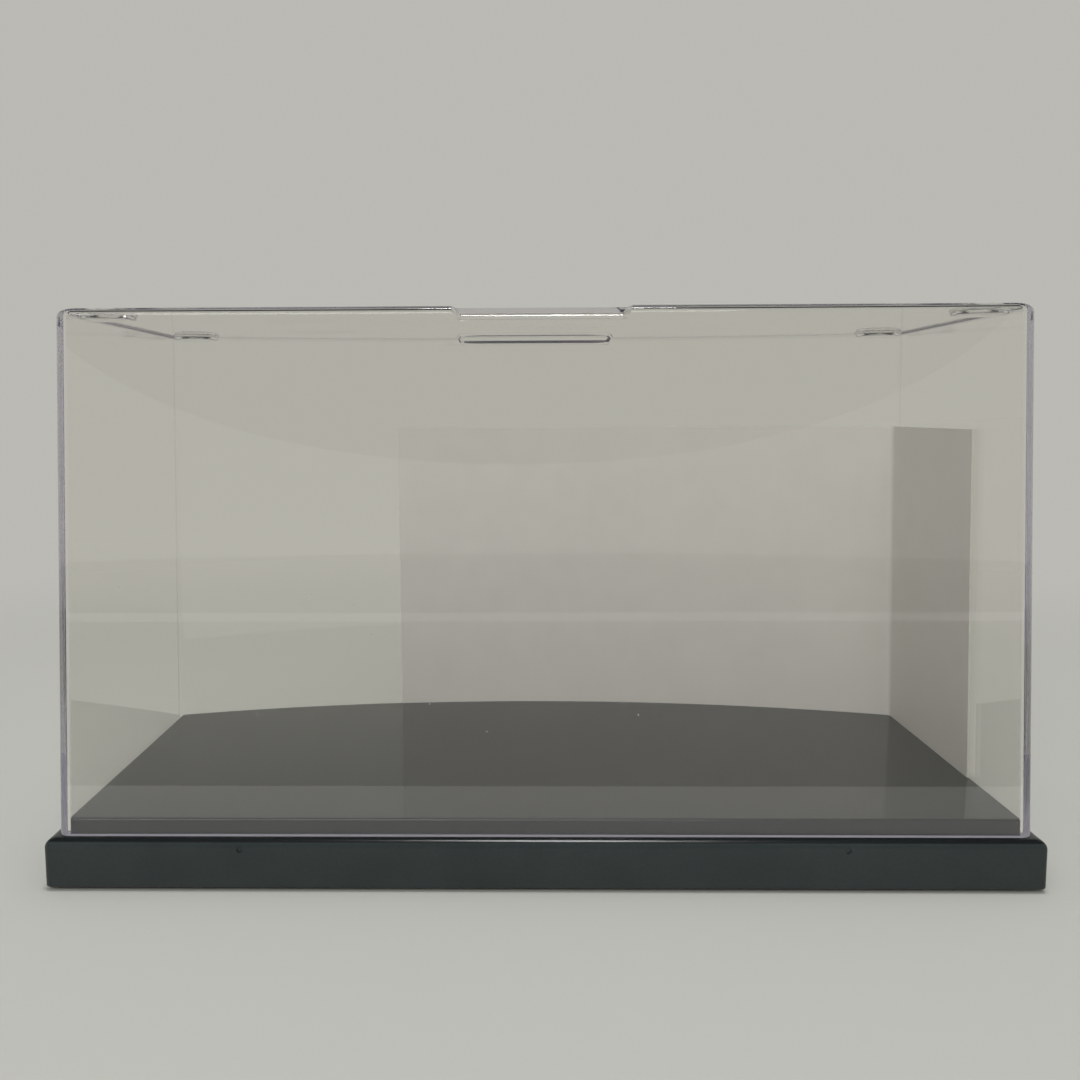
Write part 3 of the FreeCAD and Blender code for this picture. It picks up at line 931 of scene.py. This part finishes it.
def build_cover(settings):
    sizes = settings.sizes
    finish = clear_plastic(settings.finishes)
    tilt = math.tan(sizes.draft)
    lean = (sizes.cover_top - sizes.rim_top) * tilt
    roof_end = 4 * MM
    # The foot stands just above the ledge, so that the two faces don't coincide
    foot_gap = 0.04 * MM
    skin = rounded((
        (0.0, sizes.rim_top + foot_gap, 0), (lean, sizes.cover_top, sizes.cover_round),
        (lean + roof_end, sizes.cover_top, 0)), 12)
    plan = inset_plan(sizes, sizes.ledge, sizes.cover_corner, sizes.cover_corner, COVER_REACH, finish)
    cover = moulding("clear_cover", skin, plan)

    inside = sizes.ledge + sizes.cover_wall
    corner = sizes.cover_corner - sizes.cover_wall
    ceiling = sizes.cover_top - sizes.cover_roof
    inner_lean = (ceiling - sizes.rim_top) * tilt
    hollow = rounded((
        (-OVERRUN * tilt, sizes.rim_top - OVERRUN, 0), (inner_lean, ceiling, sizes.cavity_round),
        (inner_lean + roof_end, ceiling, 0)), 8)
    cavity = moulding("cavity", hollow, inset_plan(sizes, inside, corner, corner, COVER_REACH, finish))

    # The roof keeps its thickness round each dimple and notch
    thick = sizes.cover_roof
    slope = sizes.dimple_slope
    floor = sizes.cover_top - sizes.dimple_depth
    over = sizes.cover_top + OVERRUN
    within_roof = sizes.cover_top - 0.4 * MM
    run = slope * OVERRUN / sizes.dimple_depth
    radius = sizes.dimple_radius
    dimples = cup(sizes, "dimples", floor, radius - slope, radius + run, over, finish, SEGMENTS)
    radius += thick
    walls = cup(sizes, "dimple_walls", floor - thick, radius - slope, radius, within_roof, finish, SEGMENTS)
    edge = sizes.base_depth / 2 - sizes.ledge - lean
    past_edge = edge + 5 * MM
    hair = 0.01 * MM
    notch_floor = sizes.cover_top - sizes.notch_depth - hair
    notch_walls = []
    notches = []
    for row, width, sign in (("front", sizes.front_notch, -1), ("rear", sizes.rear_notch, 1)):
        half = width / 2 - sizes.notch_depth
        ends = sorted((sign * (edge - sizes.notch_reach), sign * past_edge))
        notches.append(trough(f"notch_{row}", sign, ends, (notch_floor, over), half,
                              sizes.notch_depth + OVERRUN, edge, sizes.notch_round))
        near, far = sorted((sign * (edge - sizes.notch_reach - thick), sign * past_edge))
        notch_walls.append(block(f"notch_wall_{row}", (-half - thick, near, notch_floor - thick),
                                 (half + thick, far, within_roof), sizes.notch_depth))
    carve(cavity, [walls, *notch_walls])
    carve(cover, [cavity, dimples, *notches])
    soften = cover.modifiers.new("soften", "BEVEL")
    soften.width = sizes.moulded_round
    soften.segments = 3
    soften.limit_method = "ANGLE"
    soften.angle_limit = math.radians(30)
    soften.use_clamp_overlap = True
    settle(cover)
    foot_top = sizes.rim_top + 0.1 * MM
    downward = -0.9
    dressed(cover, [finish, ground_edge(settings.finishes)], "cover", ["cover"],
            lambda face: face.normal.z < downward and face.center.z < foot_top)


def build_feet(settings):
    sizes = settings.sizes
    finish = foot_rubber(settings.finishes)
    radius = sizes.foot_radius
    dish = 0.12 * MM
    dish_floor, dish_edge = radius * 0.42, radius * 0.5
    small_round = 0.1 * MM
    line = rounded((
        (0.0, dish, 0), (dish_floor, dish, small_round), (dish_edge, 0.0, small_round),
        (radius, 0.0, sizes.moulded_round), (radius, sizes.foot_top, small_round),
        (0.0, sizes.foot_top, 0)), 6)
    feet = over_feet(sizes, "rubber_feet", line, finish, SEGMENTS)
    dressed(feet, [finish], "base", FOOT_NODES)


def build_card(settings):
    sizes = settings.sizes
    finishes = settings.finishes
    inside = paper("card_inside", finishes.card, rough=0.78, fibre_share=1.0, lean=sizes.draft)
    outside = paper("card_outside", finishes.card_white, rough=0.5, fibre_share=0.35, lean=sizes.draft)
    inset = sizes.base_width / 2 - CARD_HIGH.x + sizes.card_thickness / 2
    rise = CARD_HIGH.z - CARD_LOW.z
    rows = 64
    line = [Vector((0.0, CARD_LOW.z + rise * row / rows)) for row in range(rows + 1)]
    card = grown("insert_card_sheet", line, folded_sheet_tree(), {
        "Bow radius": sizes.rear_radius - inset, "Bow centre": sizes.base_depth / 2 - sizes.rear_radius,
        "Side": sizes.base_width / 2 - inset, "Fold radius": sizes.card_fold, "Left end": CARD_LOW.x,
        "Front end": CARD_LOW.y, "Foot": CARD_LOW.z, "Top": CARD_HIGH.z, "Lean": rise * math.tan(sizes.draft),
        "Wave": sizes.card_wave, "Material": inside})
    card.data.materials.clear()
    card.data.materials.append(inside)
    card.data.materials.append(outside)
    thicken = card.modifiers.new("thicken", "SOLIDIFY")
    thicken.thickness = sizes.card_thickness
    thicken.offset = 0.0
    thicken.material_offset = 1
    settle(card)
    card.data.set_sharp_from_angle(angle=math.radians(CARD_SHARP))
    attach(card, "base")
    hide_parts("insert_card")


# Studio

def sweep_finish(studio):
    paint = Finish("pale_sweep")
    mottle = paint.noise(6.0, detail=4.0, rough=0.6)
    tone = paint.blend(mottle, Vector(studio.sweep) * 0.985, Vector(studio.sweep) * 1.015)
    grain = paint.noise(900.0)
    matt = paint.coat(tone, 0.8 + grain * 0.1, grain, strength=0.25, depth=0.04 * MM,
                      more={"Specular IOR Level": 0.0})
    # Far from the case the sweep shows one even pale tone, also through the cover and in gloss behind it
    x, y, _ = paint.parts(paint.place)
    far = paint.ramp((x * x + y * y).call("SQRT"), 0.17, 0.5)
    behind = paint.ray("Glossy") * paint.ramp(y, 0.0, 0.2)
    seen = paint.ray("Camera").most(paint.ray("Transmission")).most(behind)
    even = paint.add("ShaderNodeEmission", {"Color": shade(studio.backdrop), "Strength": 1.0})
    return paint.show(paint.mix(far * seen, matt, even))


def glow_finish(name, tone, strength):
    paint = Finish(name)
    return paint.show(paint.add("ShaderNodeEmission", {"Color": shade(tone), "Strength": strength}))


def add_sweep(studio):
    """A round floor that curves up into a low wall all round."""
    radius, height, bend = 1.5, 1.4, 0.5
    line = rounded(((0.0, 0.0, 0), (radius, 0.0, bend), (radius, height, 0)), 24)
    rings = line[1:]
    segments = 160
    corners = [(point.x * x, point.x * y, point.y) for point in rings for x, y in circle(segments)]
    bends = ring_faces(segments, len(rings))
    floor = meshed("floor_sweep", corners, [], [tuple(range(segments)), *bends])
    floor.data.polygons.foreach_set("use_smooth", [False] + [True] * len(bends))
    floor.data.materials.append(sweep_finish(studio))


def add_flag(name, half, low, high, finish):
    """A panel between two edges along X, each at a y and z, that only gloss shows."""
    corners = ((-half, *low), (half, *low), (half, *high), (-half, *high))
    flag = meshed(name, corners, [], [(0, 1, 2, 3)])
    flag.data.materials.append(finish)
    for ray in ("camera", "diffuse", "transmission", "shadow", "volume_scatter"):
        setattr(flag, f"visible_{ray}", False)


def add_lamp(name, place, aim, width, depth, strength):
    lamp = bpy.data.lights.new(name, "AREA")
    lamp.shape = "RECTANGLE"
    lamp.size = width
    lamp.size_y = depth
    lamp.energy = strength
    holder = linked(name, lamp)
    holder.location = place
    holder.rotation_mode = "QUATERNION"
    holder.rotation_quaternion = (Vector(aim) - Vector(place)).to_track_quat("-Z", "Y")
    holder.visible_camera = False
    return holder


def add_world(studio):
    """Even light all round, which gloss sees as a dim room."""
    world = bpy.data.worlds.new("even_light")
    bpy.context.scene.world = world
    world.use_nodes = True
    world.node_tree.nodes.clear()
    graph = Graph(world.node_tree)
    tone = graph.blend(graph.ray("Glossy"), (1.0, 1.0, 0.98), studio.room)
    sky = graph.add("ShaderNodeBackground", {"Color": tone, "Strength": studio.sky})
    output = world.node_tree.nodes.new("ShaderNodeOutputWorld")
    graph.feed(output.inputs["Surface"], sky)


def add_camera(studio):
    camera = bpy.data.cameras.new("camera")
    camera.sensor_width = 36.0
    camera.lens = studio.lens
    camera.shift_x, camera.shift_y = studio.shift
    camera.clip_start = 0.01
    camera.clip_end = 20.0
    holder = linked("camera", camera)
    tilt = Matrix.Rotation(PI / 2 - studio.pitch, 4, "X") @ Matrix.Rotation(studio.roll, 4, "Z")
    holder.matrix_world = Matrix.Translation(studio.eye) @ Matrix.Rotation(-studio.yaw, 4, "Z") @ tilt
    bpy.context.scene.camera = holder


def build_stage(settings):
    studio = settings.studio
    add_sweep(studio)
    # Panels that stand for a dim room, a pale strip in it and the table in front of the case
    reach, wall_y, wall_top = 1.4, -1.3, 1.4
    table_front, table_rear, table_half = -0.123, -0.082, 0.5
    strip_front, strip_rear = -0.5, -0.46
    room_level, table_level, strip_level = 0.4 * MM, 0.5 * MM, 0.6 * MM
    room = glow_finish("dim_room", studio.room, studio.sky)
    strip = glow_finish("pale_strip", (1.0, 0.99, 0.97), 0.8)
    table = glow_finish("pale_table", (1.0, 0.995, 0.975), 1.0)
    add_flag("room_floor_flag", reach, (-reach, room_level), (table_front, room_level), room)
    add_flag("room_wall_flag", reach, (wall_y, 0.0), (wall_y, wall_top), room)
    add_flag("pale_strip_card", table_half, (strip_front, strip_level), (strip_rear, strip_level), strip)
    add_flag("table_card", table_half, (table_front, table_level), (table_rear, table_level), table)
    overhead = add_lamp("overhead", place=(0.05, -0.1, 1.6), aim=(0.0, 0.0, 0.05), width=0.28, depth=0.45,
                        strength=studio.lamp_power)
    overhead.visible_transmission = False
    fill = add_lamp("front_fill", place=(-0.25, -1.25, 0.9), aim=(0.0, 0.0, 0.06), width=1.2, depth=0.8,
                    strength=studio.fill_power)
    fill.visible_glossy = False
    add_world(studio)
    add_camera(studio)
    scene = bpy.context.scene
    scene.view_settings.view_transform = "Standard"
    # Light runs along inside the clear walls through many reflections
    bounces = 400
    scene.cycles.max_bounces = bounces
    scene.cycles.glossy_bounces = bounces
    scene.cycles.transmission_bounces = bounces


# Operators, panel and registration

class CASE_OT_base(bpy.types.Operator):
    """Build the dark base with its hollow underside"""

    bl_idname = "case.base"
    bl_label = "Dark Base"

    def execute(self, context):
        build_base(context.scene.display_case)
        return {"FINISHED"}


class CASE_OT_cover(bpy.types.Operator):
    """Build the clear cover with its dimples and notches"""

    bl_idname = "case.cover"
    bl_label = "Clear Cover"

    def execute(self, context):
        build_cover(context.scene.display_case)
        return {"FINISHED"}


class CASE_OT_feet(bpy.types.Operator):
    """Build the four rubber feet"""

    bl_idname = "case.feet"
    bl_label = "Rubber Feet"

    def execute(self, context):
        build_feet(context.scene.display_case)
        return {"FINISHED"}


class CASE_OT_card(bpy.types.Operator):
    """Build the folded insert card"""

    bl_idname = "case.card"
    bl_label = "Insert Card"

    def execute(self, context):
        build_card(context.scene.display_case)
        return {"FINISHED"}


class CASE_OT_stage(bpy.types.Operator):
    """Build the floor, lamps, world and camera"""

    bl_idname = "case.stage"
    bl_label = "Studio"

    def execute(self, context):
        build_stage(context.scene.display_case)
        return {"FINISHED"}


OPERATORS = (CASE_OT_stage, CASE_OT_base, CASE_OT_feet, CASE_OT_card, CASE_OT_cover)


class CASE_PT_panel(bpy.types.Panel):
    """Lists the case's pieces and values in the sidebar"""

    bl_idname = "CASE_PT_panel"
    bl_label = "Display Case"
    bl_space_type = "VIEW_3D"
    bl_region_type = "UI"
    bl_category = "Display Case"

    def draw(self, context):
        settings = context.scene.display_case
        for operator in OPERATORS:
            self.layout.operator(operator.bl_idname)
        for group in (settings.sizes, settings.finishes, settings.studio):
            column = self.layout.column()
            for key in group.__annotations__:
                column.prop(group, key)


CLASSES = (CaseSizes, CaseFinishes, StudioValues, CaseSettings, *OPERATORS, CASE_PT_panel)


def register():
    for kind in CLASSES:
        bpy.utils.register_class(kind)
    bpy.types.Scene.display_case = bpy.props.PointerProperty(type=CaseSettings)


def unregister():
    del bpy.types.Scene.display_case
    for kind in reversed(CLASSES):
        bpy.utils.unregister_class(kind)


def main():
    register()
    bpy.ops.case.stage()
    bpy.ops.case.base()
    bpy.ops.case.feet()
    bpy.ops.case.card()
    bpy.ops.case.cover()


if __name__ == "__main__":
    main()
